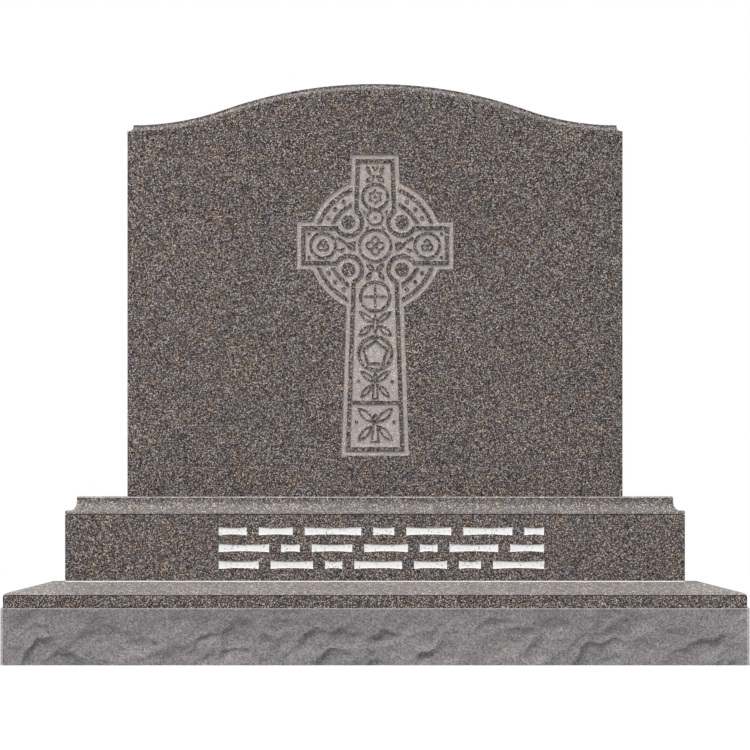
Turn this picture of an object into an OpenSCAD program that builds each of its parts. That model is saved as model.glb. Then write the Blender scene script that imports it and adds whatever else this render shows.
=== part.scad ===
// Granite memorial: a serpentine-top tablet with a carved Celtic cross, on a coved plinth,
// a bevelled base and a rock-faced course. Millimetres, +Z up, front towards -Y.
// The origin is at the middle of the underside.

/* [Tablet] */
// Width of the tablet
tablet_w = 914.4; // [700:0.1:1200]
// Height of the tablet at the middle of its crown
tablet_h = 762; // [600:0.1:1000]
// Thickness of the tablet
tablet_t = 101.6; // [76:0.1:152.4]
// Drop from the crown to the shoulders
crown_drop = 76.2; // [50:0.1:110]
// Part of each half of the top that bends outwards, before it turns to the hollow shoulder
crown_part = 0.626; // [0.45:0.001:0.75]
// Height of the upright fillet above the tablet's cove
tablet_fillet = 2.5; // [1:0.1:5]
// Radius of the tablet's cove
tablet_cove_r = 8.5; // [5:0.1:14]
// Width of the ledge under the tablet's cove
tablet_ledge = 2.5; // [1:0.1:6]

/* [Cross carving] */
// Plain polished stone between the crown and the top of the cross
cross_headroom = 130.4; // [80:0.1:200]
// Plain polished stone between the plinth and the foot of the cross
cross_footroom = 75.6; // [40:0.1:150]
// Depth of the sandblasted ground of the cross
cross_depth = 2.5; // [1:0.1:5]
// Height of the upper arm above the middle of the cross, before scaling to the tablet
arm_up = 159.4; // [152:0.1:180]
// Length of the shaft below the middle of the cross
arm_down = 380.2; // [372:0.1:420]
// Reach of each side arm from the middle
arm_side = 136.4; // [132:0.1:150]
// Half height of the side arms
arm_half_h = 36; // [34:0.1:38]
// Half width of the upright at the middle of the cross
shaft_half_w = 41; // [39:0.1:46]
// Widening of each side of the upright, per millimetre downwards
shaft_taper = 0.0343; // [0:0.0001:0.05]
// Width of the frosted border outside the body
border_w = 8.2; // [5:0.1:9]
// Width of the polished outline inside the body's edge
outline_w = 7.6; // [5:0.1:8]
// Distance of each eye from the middle, along the arms
eye_x = 49.4; // [48:0.1:51]
// Distance of each eye from the middle, up and down
eye_y = 43.8; // [42:0.1:46]
// Radius of the round bite that each eye takes out of the body
eye_bite_r = 21.1; // [19:0.1:22]
// Radius of the polished eye
eye_r = 12.6; // [8:0.1:13.5]
// Outer radius of the ring's outer line
ring_line_r = 115.3; // [112:0.1:118]
// Outer radius of the ring's inner line
ring_inner_r = 91.5; // [88:0.1:95]
// Width of the ring's two lines
ring_line_w = 7.2; // [4:0.1:8]
// Width of the ring's frosted border, outside its outer line
ring_border = 8.7; // [5:0.1:12]
// Space between the ends of the ring's lines and the body
ring_gap = 5; // [3:0.1:9]
// Radius of the studs in the ring
stud_r = 4; // [2.5:0.1:5]
// Angle between the studs
stud_step = 11.9; // [9:0.1:13]
// Width of the fine lines of the leaves and flowers
fine_w = 3.2; // [2:0.1:4]

/* [Plinth] */
// Plinth beyond each end of the tablet
plinth_side = 114.3; // [60:0.1:200]
// Plinth in front of the tablet and behind it
plinth_front = 101.6; // [50:0.1:200]
// Height of the plinth
plinth_h = 155; // [135:0.1:250]
// Height of the upright fillet at the top of the plinth
plinth_fillet = 9.8; // [4:0.1:15]
// Radius of the plinth's cove
plinth_cove_r = 17.4; // [16.7:0.1:22]
// Height of the plinth's cove, at most its radius
plinth_cove_h = 16.6; // [8:0.1:16.7]
// Width of the ledge under the plinth's cove
plinth_ledge = 9.4; // [6:0.1:15]
// Plain band between the ledge and the fine groove
quirk_drop = 3.6; // [2:0.1:8]
// Width and depth of the fine groove round the plinth
quirk_w = 1.6; // [1:0.1:3]

/* [Inscription strokes] */
// Plain stone beyond each end of the rows, before their shift
strokes_side = 271.5; // [200:0.1:330]
// Shift of the rows from the middle, to the right
strokes_shift = 11.7; // [-20:0.1:20]
// Plain stone between the groove and the top row
strokes_headroom = 22.4; // [10:0.1:30]
// Plain stone below the bottom row
strokes_rise = 22; // [10:0.1:30]
// Thickness of a stroke at its ends
stroke_thick = 15; // [8:0.1:16]
// Thickness of a stroke at its waist
stroke_waist = 11.5; // [6:0.1:15]
// Number of rows
stroke_rows = 3; // [1:1:3]
// Number of strokes in a row
stroke_count = 7; // [3:1:9]
// Space between the strokes of a row
stroke_gap = 22; // [10:0.1:30]
// Depth of the cut strokes
stroke_depth = 1.5; // [0.8:0.1:3]

/* [Bed and base] */
// Thickness of the mortar bed under the plinth
bed_h = 2; // [1:0.1:6]
// Flat strip of the base round the plinth
base_strip = 23.5; // [10:0.1:60]
// Level run of the sloped wash
wash_run = 90; // [40:0.1:150]
// Fall of the wash
wash_fall = 24; // [8:0.1:40]
// Height of the base's upright edge
base_edge = 24; // [15:0.1:80]

/* [Rock-faced course] */
// How far the course stands out beyond the base
course_out = 4.5; // [0:0.1:30]
// Height of the course
course_h = 105; // [80:0.1:200]
// Width of the straight draft along the top and the corners
draft_w = 4; // [2:0.1:20]
// Depth of the rock face behind the draft, on average
rock_depth = 7; // [6:0.1:10]
// How far the rock face waves either way
rock_wave = 5; // [1:0.1:5.5]
// Spacing of the rock face's points
rock_pitch = 24; // [18:1:60]

/* [Hidden] */
$fn = 72;
over = 1; // how far a cutter stands clear of the face that it cuts

// The stack, from the ground up
plinth_w = tablet_w + 2 * plinth_side;
plinth_d = tablet_t + 2 * plinth_front;
base_w = plinth_w + 2 * (base_strip + wash_run);
base_d = plinth_d + 2 * (base_strip + wash_run);
course_w = base_w + 2 * course_out;
course_d = base_d + 2 * course_out;
base_z = course_h;
bed_z = base_z + base_edge + wash_fall;
plinth_z = bed_z + bed_h;
tablet_z = plinth_z + plinth_h;
quirk_z = plinth_h - plinth_fillet - plinth_cove_h - quirk_drop - quirk_w; // above the plinth's foot

// The tablet's top line: one crown arc, and two hollow shoulder arcs that meet it smoothly
tablet_inset = tablet_cove_r + tablet_ledge;
top_run = tablet_w / 2 - tablet_inset;
both_r = (top_run * top_run + crown_drop * crown_drop) / (2 * crown_drop);
crown_r = both_r * crown_part;
shoulder_r = both_r - crown_r;
turn = asin(top_run / both_r);
crown_mid = tablet_h - crown_r;
shoulder_z = tablet_h - crown_drop;
shoulder_mid = shoulder_z + shoulder_r;
arc_steps = 16; // straight pieces that draw each arc
cove_steps = 6;

// The cross is drawn at full size, then scaled to the height that the tablet leaves for it
cross_drawn_h = arm_up + arm_down + 2 * border_w;
cross_scale = (tablet_h - cross_headroom - cross_footroom) / cross_drawn_h;
cross_mid_z = cross_footroom + (arm_down + border_w) * cross_scale;

// ---- Cove moulding, shared by the tablet and the plinth ----

// Section of what a cove takes off a top edge: x runs down from the top, y in from the face
module cove_cut(fillet, cove_r, cove_h, ledge) {
    mid = ledge - sqrt(cove_r * cove_r - cove_h * cove_h);
    inset = mid + cove_r;
    translate([-over, -over])
        square([over + fillet + cove_h, over + ledge]);
    translate([-over, ledge])
        square([over + fillet, inset - ledge]);
    intersection() {
        translate([fillet, mid])
            circle(r = cove_r);
        translate([fillet, ledge])
            square([cove_h, inset - ledge]);
    }
}

module tablet_cove() {
    cove_cut(tablet_fillet, tablet_cove_r, tablet_cove_r, tablet_ledge);
}

module plinth_cove() {
    cove_cut(plinth_fillet, plinth_cove_r, plinth_cove_h, plinth_ledge);
}

// Runs such a section along +X, for a face that looks to -Y
module straight_cut(length) {
    rotate([0, 90, 0])
        linear_extrude(length)
            children();
}

// ---- Tablet ----

// One half of the top line, from the middle outwards: x, z and how far the line leans there
half_top = concat(
    [for (i = [0 : arc_steps]) [crown_r * sin(lean(i)), crown_mid + crown_r * cos(lean(i)), lean(i)]],
    [for (i = [arc_steps - 1 : -1 : 0])
        [top_run - shoulder_r * sin(lean(i)), shoulder_mid - shoulder_r * cos(lean(i)), lean(i)]]
);

function lean(step) = turn * step / arc_steps;

// The whole top line from left to right, with its level ends
top_line = concat(
    [[-tablet_w / 2 - over, shoulder_z, 0]],
    [for (i = [len(half_top) - 1 : -1 : 1]) [-half_top[i][0], half_top[i][1], -half_top[i][2]]],
    half_top,
    [[tablet_w / 2 + over, shoulder_z, 0]]
);

module outline() {
    difference() {
        polygon(concat(
            [[-tablet_w / 2 - over, 0]],
            [for (p = top_line) [p[0], p[1]]],
            [[tablet_w / 2 + over, 0]]
        ));
        for (side = [-1, 1])
            translate([side * (tablet_w / 2 + over), tablet_h / 2])
                square([2 * over, 2 * tablet_h], center = true);
    }
}

// The tablet cove's section again, as points, for the sweep along the top line
cove_points = concat(
    [[tablet_cove_r + tablet_fillet, -over], [-over, -over], [-over, tablet_inset]],
    [for (i = [0 : cove_steps])
        [tablet_fillet + tablet_cove_r * sin(90 * i / cove_steps),
         tablet_ledge + tablet_cove_r * cos(90 * i / cove_steps)]]
);

// What the cove takes off the front edge
module top_cut() {
    count = len(cove_points);
    last = (len(top_line) - 1) * count;
    polyhedron(
        points = [
            for (p = top_line) for (c = cove_points)
                [p[0] - c[0] * sin(p[2]), -tablet_t / 2 + c[1], p[1] - c[0] * cos(p[2])]
        ],
        faces = concat(
            [for (k = [0 : len(top_line) - 2]) for (i = [0 : count - 1])
                let (a = k * count + i, b = k * count + (i + 1) % count)
                [a, b + count, a + count]],
            [for (k = [0 : len(top_line) - 2]) for (i = [0 : count - 1])
                let (a = k * count + i, b = k * count + (i + 1) % count)
                [a, b, b + count]],
            [[for (i = [0 : count - 1]) count - 1 - i], [for (i = [0 : count - 1]) last + i]]
        )
    );
}

module end_cut() {
    translate([tablet_w / 2, -tablet_t / 2 - over, shoulder_z])
        rotate([0, 0, 90])
            straight_cut(tablet_t + 2 * over)
                tablet_cove();
}

module tablet() {
    color([0.42, 0.39, 0.38])
    translate([0, 0, tablet_z])
    difference() {
        rotate([90, 0, 0])
            translate([0, 0, -tablet_t / 2])
                linear_extrude(tablet_t)
                    outline();
        for (turned = [0, 180])
            rotate([0, 0, turned]) {
                top_cut();
                end_cut();
            }
        translate([0, -tablet_t / 2 + cross_depth, cross_mid_z])
            rotate([90, 0, 0])
                linear_extrude(cross_depth + over)
                    scale(cross_scale)
                        frosted_ground();
    }
}

// ---- Celtic cross, drawn round its own middle ----

side_panel_in = 40.2; // from the end of a side arm to the middle of its round panel
side_panel_x = arm_side - side_panel_in;
side_dot_in = 14; // from the end of a side arm to the dots in its corners
side_dot_x = arm_side - side_dot_in;

// Round panels: x, y, outer radius and inner radius of the polished line
panels = [
    [0, 0, 31.6, 26.6],
    [-side_panel_x, 0, 25.5, 20.5],
    [side_panel_x, 0, 25.5, 20.5],
    [0, 90.3, 25.8, 20.5],
    [0, 52.3, 15.8, 12],
    [0, -94, 29.6, 24.2],
    [0, -199, 33.4, 27.6]
];

// Leaves of one side, which the other side mirrors: stalk, tip and width
side_leaves = [
    [[9, 131], [15.5, 148], 8],
    [[1, 130], [17, 117], 10],
    [[1, -46.5], [17, -33], 10],
    [[6, -48], [16.8, -64], 9],
    [[2, -143], [30.5, -121], 12],
    [[6, -147], [31, -167], 13],
    [[1, -252], [27.5, -231], 12],
    [[5, -256], [27.5, -281], 12],
    [[2, -327], [32.5, -299.5], 16],
    [[5, -332], [32.5, -361], 14]
];

// Upright leaves on the middle line: lower end, upper end and width
middle_leaves = [
    [[0, -164], [0, -126.5], 11],
    [[0, -253], [0, -234], 8.5],
    [[0, -328], [0, -309], 9]
];

// One side of the stems under the two lower sprays, down to their feet
stems = [
    [[3, -252], [4.4, -282]],
    [[3, -328], [6.2, -362]]
];
stem_feet = [[5.6, -282], [8.6, -362]]; // half width and height of each foot

// Small solid wedges that fill the corners between the panels, on one side
wedges = [
    [[36, 9], [50, 5], [37, -4]],
    [[56, -4], [71, -8], [61, -13]],
    [[17, 62], [23, 66], [20.5, 54]],
    [[12, 36], [18, 32], [14, 28]]
];
chevron = [[0, 138.5], [5.4, 147]]; // right half of the small V above the top spray

dot_r = 3; // small dots beside the leaves, in the flowers and in the corners of the arms
middle_dots = [[0, 52.3], [0, 90.3], [0, -94]];
side_dots = [[34.5, -325.5], [31, -251], [side_dot_x, 22], [side_dot_x, -22]];
divider_y = -290.1; // bar across the shaft above the foot panel
divider_w = 6.8;
plus_reach = 20.5; // equal-armed cross in the panel below the middle
plus_w = 3.7;
rosette = [14.4, 9]; // six-pointed flower in the top panel, outer and inner radius
star = [27, 20.5]; // five-pointed flower in the lower panel
flower_line = 0.78; // the inside line of a flower, as a part of its outside line
middle_knot = [4, 8.4, 9.2]; // rings, their radius and how far they stand from the middle
side_knot = [3, 7, 5.2];
strap = [[71, 14.5], [58, 8], [47, -4.5], [37, -7]]; // band from a side panel to the middle
strap_w = 4.6;
stud_angle = 42.3; // of the middle stud of a quadrant, above the side arm

function half_w(y) = shaft_half_w - shaft_taper * y;

function star_points(count, outer, inner) = [
    for (i = [0 : 2 * count - 1])
        (i % 2 == 0 ? outer : inner) * [sin(180 * i / count), cos(180 * i / count)]
];

module both_sides() {
    children();
    mirror([1, 0])
        children();
}

// Cross body, grown or shrunk by an even margin
module cross_body(grow) {
    top = arm_up + grow;
    foot = -arm_down - grow;
    difference() {
        union() {
            polygon([
                [-half_w(top) - grow, top],
                [-half_w(foot) - grow, foot],
                [half_w(foot) + grow, foot],
                [half_w(top) + grow, top]
            ]);
            square([2 * (arm_side + grow), 2 * (arm_half_h + grow)], center = true);
        }
        for (sx = [-1, 1], sy = [-1, 1])
            translate([sx * eye_x, sy * eye_y])
                circle(r = eye_bite_r - grow);
    }
}

module ring_line(outer, inner) {
    difference() {
        circle(r = outer);
        circle(r = inner);
    }
}

module ring_quadrants() {
    stud_ring = (ring_line_r - ring_line_w + ring_inner_r) / 2;
    difference() {
        union() {
            ring_line(ring_line_r, ring_line_r - ring_line_w);
            ring_line(ring_inner_r, ring_inner_r - ring_line_w);
        }
        cross_body(ring_gap);
    }
    for (sx = [-1, 1], sy = [-1, 1], step = [-1, 0, 1])
        translate([
            sx * stud_ring * cos(stud_angle + step * stud_step),
            sy * stud_ring * sin(stud_angle + step * stud_step)
        ])
            circle(r = stud_r);
    for (sx = [-1, 1], sy = [-1, 1])
        translate([sx * eye_x, sy * eye_y])
            circle(r = eye_r);
}

// Almond where two discs overlap; a smaller radius on the same middles gives the inside line
module almond(radius, mid) {
    intersection() {
        translate([0, -mid])
            circle(r = radius);
        translate([0, mid])
            circle(r = radius);
    }
}

module leaf(stalk, tip, width) {
    along = tip - stalk;
    length = norm(along);
    bend_r = (length * length + width * width) / (4 * width);
    mid = bend_r - width / 2;
    translate((stalk + tip) / 2)
        rotate(atan2(along[1], along[0]))
            difference() {
                almond(bend_r, mid);
                almond(bend_r - fine_w, mid);
            }
}

module bar(from, to, width) {
    along = to - from;
    translate(from)
        rotate(atan2(along[1], along[0]))
            translate([0, -width / 2])
                square([norm(along), width]);
}

module flower(count, radii) {
    difference() {
        polygon(star_points(count, radii[0], radii[1]));
        polygon(flower_line * star_points(count, radii[0], radii[1]));
    }
}

// Ring of overlapping circles
module knot(rings) {
    for (i = [0 : rings[0] - 1])
        rotate(360 * i / rings[0])
            translate([0, rings[2]])
                ring_line(rings[1], rings[1] - fine_w);
}

// Everything that stays polished and proud
module cross_lines() {
    difference() {
        cross_body(0);
        cross_body(-outline_w);
    }
    ring_quadrants();
    for (p = panels)
        translate([p[0], p[1]])
            ring_line(p[2], p[3]);
    bar([-half_w(divider_y), divider_y], [half_w(divider_y), divider_y], divider_w);
    both_sides() {
        for (l = side_leaves)
            leaf(l[0], l[1], l[2]);
        for (d = side_dots)
            translate(d)
                circle(r = dot_r);
        for (i = [0 : len(strap) - 2])
            bar(strap[i], strap[i + 1], strap_w);
        translate([side_panel_x, 0])
            knot(side_knot);
        for (s = stems)
            bar(s[0], s[1], fine_w);
        for (w = wedges)
            polygon(w);
        bar(chevron[0], chevron[1], fine_w);
    }
    for (f = stem_feet)
        bar([-f[0], f[1]], [f[0], f[1]], fine_w);
    for (l = middle_leaves)
        leaf(l[0], l[1], l[2]);
    for (d = middle_dots)
        translate(d)
            circle(r = dot_r);
    knot(middle_knot);
    translate(middle_dots[1])
        flower(6, rosette);
    translate(middle_dots[2])
        for (a = [0, 90])
            rotate(a)
                bar([-plus_reach, 0], [plus_reach, 0], plus_w);
    translate([0, panels[6][1]])
        flower(5, star);
}

module frosted_ground() {
    difference() {
        union() {
            cross_body(border_w);
            circle(r = ring_line_r + ring_border);
        }
        cross_lines();
    }
}

// ---- Plinth ----

module plinth() {
    color([0.43, 0.4, 0.39])
    translate([0, 0, plinth_z])
    difference() {
        translate([-plinth_w / 2, -plinth_d / 2, 0])
            cube([plinth_w, plinth_d, plinth_h]);
        for (turned = [0, 180]) {
            rotate([0, 0, turned])
                translate([-plinth_w / 2 - over, -plinth_d / 2, plinth_h])
                    straight_cut(plinth_w + 2 * over)
                        plinth_cove();
            rotate([0, 0, turned + 90])
                translate([-plinth_d / 2 - over, -plinth_w / 2, plinth_h])
                    straight_cut(plinth_d + 2 * over)
                        plinth_cove();
        }
        translate([0, 0, quirk_z])
            difference() {
                translate([-plinth_w / 2 - over, -plinth_d / 2 - over, 0])
                    cube([plinth_w + 2 * over, plinth_d + 2 * over, quirk_w]);
                translate([-plinth_w / 2 + quirk_w, -plinth_d / 2 + quirk_w, -over])
                    cube([plinth_w - 2 * quirk_w, plinth_d - 2 * quirk_w, quirk_w + 2 * over]);
            }
        translate([strokes_shift, -plinth_d / 2 + stroke_depth, strokes_rise])
            rotate([90, 0, 0])
                linear_extrude(stroke_depth + over)
                    stroke_band();
    }
}

// Rows of plain strokes of varied length. Each row fills the same width.
strokes_w = plinth_w - 2 * strokes_side;
strokes_h = quirk_z - strokes_headroom - strokes_rise;
stroke_vary = 0.5; // how far a stroke's length differs from the average
stroke_beat = 131; // degrees from one stroke to the next in that variation
row_beat = 97; // and from one row to the next
row_start = 20; // where it starts
row_step = (strokes_h - stroke_thick) / max(stroke_rows - 1, 1);

function stroke_share(row, i) = 1 + stroke_vary * sin(stroke_beat * i + row_beat * row + row_start);

function share_before(row, i) = i == 0 ? 0 : share_before(row, i - 1) + stroke_share(row, i - 1);

module stroke(length) {
    polygon([
        [0, -stroke_thick / 2],
        [length / 2, -stroke_waist / 2],
        [length, -stroke_thick / 2],
        [length, stroke_thick / 2],
        [length / 2, stroke_waist / 2],
        [0, stroke_thick / 2]
    ]);
}

module stroke_band() {
    inked = strokes_w - stroke_gap * (stroke_count - 1);
    for (row = [0 : stroke_rows - 1]) {
        each_share = inked / share_before(row, stroke_count);
        for (i = [0 : stroke_count - 1])
            translate([
                -strokes_w / 2 + each_share * share_before(row, i) + stroke_gap * i,
                stroke_thick / 2 + row * row_step
            ])
                stroke(each_share * stroke_share(row, i));
    }
}

// ---- Bed, base and course ----

module bed_joint() {
    color([0.86, 0.85, 0.83])
    translate([-plinth_w / 2, -plinth_d / 2, bed_z])
        cube([plinth_w, plinth_d, bed_h]);
}

// Upright edge and sloped wash, seen from one end
module wash_section(width, length) {
    rotate([90, 0, 0])
        translate([0, 0, -length / 2])
            linear_extrude(length)
                polygon([
                    [-width / 2, 0],
                    [width / 2, 0],
                    [width / 2, base_edge],
                    [width / 2 - wash_run, base_edge + wash_fall],
                    [-width / 2 + wash_run, base_edge + wash_fall],
                    [-width / 2, base_edge]
                ]);
}

module bevelled_base() {
    color([0.5, 0.48, 0.47])
    translate([0, 0, base_z])
    intersection() {
        wash_section(base_w, base_d);
        rotate([0, 0, 90])
            wash_section(base_d, base_w);
    }
}

// Waves of the rock face: length, length of the wave that bends it, degrees of bend and share
broad_wave = [173, 61, 80, 1];
scoop_wave = [47, 119, 110, 0.8];
chip_length = 58;
chip_share = 0.5;
scoop_rise = 0.35; // the scoops rise to the right by this much per millimetre
scoop_slant = 0.3;
draft_slope = 2; // run of the chisel's slope between the draft and the rock face
rock_rows = 4; // rows of faces up the rock face
near = 0.01; // points closer than this to the draft count as on it

function bent_wave(wave, place, bend_place) =
    wave[3] * sin(360 * place / wave[0] + wave[2] * sin(360 * bend_place / wave[1]));

// Rises to the right like the scoops of a pitching chisel, from -1 to 1
function rock(along, up) =
    let (rise = along * scoop_rise - up, across = along + scoop_slant * up)
    (bent_wave(broad_wave, across, rise) +
     bent_wave(scoop_wave, rise, across) +
     chip_share * sin(360 * (across + 2 * rise) / chip_length)) /
    (broad_wave[3] + scoop_wave[3] + chip_share);

// Depth of the rock face behind the draft, which frames its top and its ends
function rock_in(along, up, length) =
    min(along, length - along, course_h - up) < draft_w + near
        ? 0
        : rock_depth + rock_wave * rock(along, up);

// Points along a face: a corner, the draft's inner edge, then even steps
function stops(length) =
    let (rock_w = length - 2 * (draft_w + draft_slope), steps = round((length - 2 * draft_w) / rock_pitch))
    concat(
        [0, draft_w],
        [for (i = [0 : steps]) draft_w + draft_slope + rock_w * i / steps],
        [length - draft_w]
    );

levels = concat(
    [for (i = [0 : rock_rows]) (course_h - draft_w - draft_slope) * i / rock_rows],
    [course_h - draft_w, course_h]
);

// Each face as [start x, start y, direction x, direction y, length], going round to the left
faces_round = [
    [-course_w / 2, -course_d / 2, 1, 0, course_w],
    [course_w / 2, -course_d / 2, 0, 1, course_d],
    [course_w / 2, course_d / 2, -1, 0, course_w],
    [-course_w / 2, course_d / 2, 0, -1, course_d]
];

// One level of the course, as points all the way round
function course_ring(up) = [
    for (f = faces_round)
        for (along = stops(f[4]))
            let (d = rock_in(along, up, f[4]))
            [f[0] + f[2] * along - f[3] * d, f[1] + f[3] * along + f[2] * d, up]
];

module rock_faced_course() {
    rings = [for (up = levels) course_ring(up)];
    count = len(rings[0]);
    top = len(levels) * count;
    color([0.5, 0.49, 0.49])
    polyhedron(
        points = concat(
            [for (r = rings) for (p = r) p],
            [[0, 0, course_h], [0, 0, 0]]
        ),
        faces = concat(
            [for (j = [0 : len(levels) - 2]) for (i = [0 : count - 1])
                [j * count + i, (j + 1) * count + i, (j + 1) * count + (i + 1) % count]],
            [for (j = [0 : len(levels) - 2]) for (i = [0 : count - 1])
                [j * count + i, (j + 1) * count + (i + 1) % count, j * count + (i + 1) % count]],
            [for (i = [0 : count - 1]) [top - count + i, top, top - count + (i + 1) % count]],
            [for (i = [0 : count - 1]) [(i + 1) % count, top + 1, i]]
        )
    );
}

tablet();
plinth();
bed_joint();
bevelled_base();
rock_faced_course();
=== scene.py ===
import math

import bpy
import numpy as np
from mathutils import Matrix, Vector, kdtree, noise
from mathutils.geometry import delaunay_2d_cdt


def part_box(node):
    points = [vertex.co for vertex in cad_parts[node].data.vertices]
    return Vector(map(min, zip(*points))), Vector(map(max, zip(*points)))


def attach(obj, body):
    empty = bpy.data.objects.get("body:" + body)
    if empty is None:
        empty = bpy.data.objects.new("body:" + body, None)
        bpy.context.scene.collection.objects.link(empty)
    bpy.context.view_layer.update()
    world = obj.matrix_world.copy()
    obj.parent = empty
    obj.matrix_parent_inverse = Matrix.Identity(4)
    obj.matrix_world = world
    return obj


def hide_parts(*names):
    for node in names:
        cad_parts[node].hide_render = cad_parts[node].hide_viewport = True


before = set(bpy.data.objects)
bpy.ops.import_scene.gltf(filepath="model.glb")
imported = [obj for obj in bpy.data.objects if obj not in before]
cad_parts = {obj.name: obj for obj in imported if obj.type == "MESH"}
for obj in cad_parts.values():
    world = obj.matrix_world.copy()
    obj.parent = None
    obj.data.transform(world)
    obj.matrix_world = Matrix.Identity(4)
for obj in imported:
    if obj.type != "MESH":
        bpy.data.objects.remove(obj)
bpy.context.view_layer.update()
mm = 0.001
chance = np.random.default_rng(11)  # draws for the carved faces; the rock face has its own
print("frame loaded:", sorted(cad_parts))


def nodeKit(owner):
    # clears a material's or a world's nodes, and gives a call that adds and wires a new one
    owner.use_nodes = True
    tree = owner.node_tree
    tree.nodes.clear()

    def put(socket, value):
        if isinstance(value, bpy.types.NodeSocket):
            tree.links.new(value, socket)
        else:
            socket.default_value = value

    def node(kind, inputs=None, **settings):
        made = tree.nodes.new(kind)
        for key, value in settings.items():
            setattr(made, key, value)
        for key, value in (inputs or {}).items():
            put(made.inputs[key], value)
        return made

    return node


def rgb(*levels):
    # display levels from 0 to 255, as the linear colour that a shader takes
    shares = [level / 255 for level in levels]
    return [s / 12.92 if s < 0.0404 else ((s + 0.055) / 1.055) ** 2.4 for s in shares] + [1.0]


def setRamp(ramp, stops):
    element = ramp.color_ramp.elements
    while len(element) > 1:
        element.remove(element[-1])
    for i, (place, colour) in enumerate(stops):
        e = element[0] if i == 0 else element.new(place)
        e.position = place
        e.color = colour


def mixColour(node, share, first, second, blend="MIX"):
    # in a colour mix, sockets 0, 6 and 7 are the share and the two colours, and output 2 the colour
    mix = node("ShaderNodeMix", {0: share, 6: first, 7: second}, data_type="RGBA", blend_type=blend)
    return mix.outputs[2]


def colourRamp(node, level, stops):
    ramp = node("ShaderNodeValToRGB", {"Fac": level})
    setRamp(ramp, stops)
    return ramp.outputs["Color"]


def randomCells(node, place, size):
    # small cells, with three random levels for each
    cells = node("ShaderNodeTexVoronoi", {"Vector": place, "Scale": 1 / size})
    split = node("ShaderNodeSeparateColor", {"Color": cells.outputs["Color"]})
    return cells, split.outputs


def noiseTexture(node, place, scale, detail, roughness=0.5):
    return node("ShaderNodeTexNoise", {
        "Vector": place, "Scale": scale, "Detail": detail, "Roughness": roughness}).outputs


def roughFrom(node, level, look):
    return node("ShaderNodeMapRange", {
        "Value": level, "To Min": look["rough"][0], "To Max": look["rough"][1]}).outputs[0]


def stoneSurface(node, look, colour, rough, height):
    # the last nodes of every finish
    bump = node("ShaderNodeBump", {
        "Height": height, "Strength": look["bump"], "Distance": look["bumpDepth"]})
    shader = node("ShaderNodeBsdfPrincipled", {
        "Base Color": colour, "Roughness": rough, "Normal": bump.outputs[0],
        "Specular IOR Level": look["gloss"]})
    node("ShaderNodeOutputMaterial", {"Surface": shader.outputs[0]})


def graniteFinish(name, look):
    # speckled stone: crystals of several colours, patches of warm and cool stone, and a fine tooth
    # haze is the pale veil that honing or sandblasting leaves; where a mesh's points carry a honed
    # share, it is partly a honed finish and partly painted light from above
    material = bpy.data.materials.new(name)
    node = nodeKit(material)
    place = node("ShaderNodeTexCoord").outputs["Object"]

    # ragged outlines for the crystals
    bend = noiseTexture(node, place, look["raggedPerMetre"], 1.0)["Color"]
    bent = node("ShaderNodeVectorMath", {0: bend, 1: (0.5, 0.5, 0.5)}, operation="SUBTRACT")
    bentSmall = node("ShaderNodeVectorMath", {
        0: bent.outputs[0], "Scale": look["ragged"]}, operation="SCALE")
    ragged = node("ShaderNodeVectorMath", {0: place, 1: bentSmall.outputs[0]}, operation="ADD")
    where = ragged.outputs[0]

    crystalLevels = randomCells(node, where, look["crystal"])[1]
    crystals = colourRamp(node, crystalLevels[0], look["colours"])
    gritLevels = randomCells(node, where, look["grit"])[1]
    grit = colourRamp(node, gritLevels[1], look["gritColours"])
    speckle = mixColour(node, look["gritShare"], crystals, grit)

    # patches a few crystals across where one colour gathers, and broad clouds
    patch = noiseTexture(node, place, 1 / look["patch"], 3.0, 0.6)["Fac"]
    patchTint = colourRamp(node, patch, look["patchColours"])
    tinted = mixColour(node, look["patchShare"], speckle, patchTint, "OVERLAY")
    cloud = noiseTexture(node, place, 1 / look["cloud"], 2.0)["Fac"]
    cloudTint = colourRamp(node, cloud, look["cloudColours"])
    colour = mixColour(node, look["cloudShare"], tinted, cloudTint, "OVERLAY")

    rough = roughFrom(node, crystalLevels[1], look)
    haze = [level * look["hazeShare"] for level in look["haze"][:3]] + [1.0]
    if look["fade"]:
        # painted light: the honed share fades in haze where mouldings face up or on an arris, as
        # light from above would lighten them
        honed = node("ShaderNodeAttribute", attribute_name="honed").outputs["Fac"]
        colour = mixColour(node, honed, colour, haze, "ADD")
        rough = node("ShaderNodeMath", {
            0: honed, 1: look["honedRough"], 2: rough}, operation="MULTIPLY_ADD").outputs[0]
    elif look["hazeShare"] > 0:
        colour = mixColour(node, 1.0, colour, haze, "ADD")

    tooth = noiseTexture(node, place, 1 / look["tooth"], 4.0, 0.65)["Fac"]
    height = node("ShaderNodeMath", {
        0: crystalLevels[2], 1: look["crystalRelief"], 2: tooth}, operation="MULTIPLY_ADD")
    stoneSurface(node, look, colour, rough, height.outputs[0])
    return material


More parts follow.
